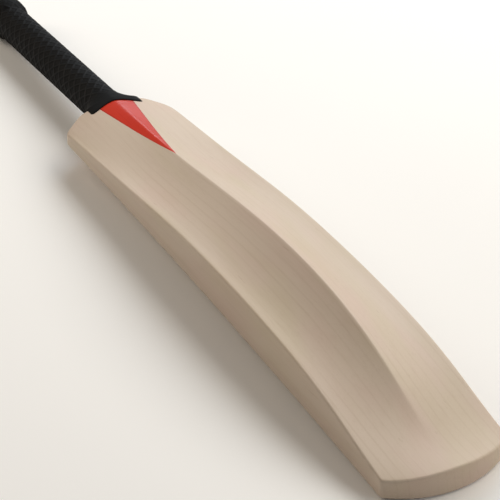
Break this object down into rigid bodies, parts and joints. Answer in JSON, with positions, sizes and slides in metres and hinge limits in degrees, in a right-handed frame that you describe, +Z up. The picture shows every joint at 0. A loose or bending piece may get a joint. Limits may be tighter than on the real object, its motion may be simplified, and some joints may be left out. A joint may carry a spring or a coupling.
{
  "type": "cricket bat",
  "caption": "Wooden cricket bat with a hollow-flanked ridged blade, a V-spliced laminated cane handle, twine binding and a rubber grip sleeve with a rolled end.",
  "frame": {"origin": "on the floor under the middle of the bat's length, the bat lying on its face", "axes": "+Y from toe to handle, +X across the blade, +Z up out of the blade's back"},
  "size_m": [0.108, 0.8553, 0.0732],
  "materials": {
    "willow": "bare sanded pale willow, fine straight grain",
    "cane": "bare cane with open pores on the end grain",
    "lacquered_cane": "red stain under a gloss lacquer on the splice",
    "spring_rubber": "matt black sheet rubber",
    "waxed_twine": "close-wound waxed twine",
    "grip_rubber": "matt black moulded rubber with a fine raised pattern"
  },
  "bodies": {
    "root": {"blade": "willow", "cane_front_left": "lacquered_cane", "cane_front_middle": "lacquered_cane", "cane_front_right": "lacquered_cane", "cane_front_inner_left": "cane", "cane_front_inner_middle": "cane", "cane_front_inner_right": "cane", "cane_back_inner_left": "cane", "cane_back_inner_middle": "cane", "cane_back_inner_right": "cane", "cane_back_left": "lacquered_cane", "cane_back_middle": "lacquered_cane", "cane_back_right": "lacquered_cane", "spring_front": "spring_rubber", "spring_middle": "spring_rubber", "spring_back": "spring_rubber", "twine_binding": "waxed_twine", "grip": "grip_rubber"}
  },
  "joints": []
}
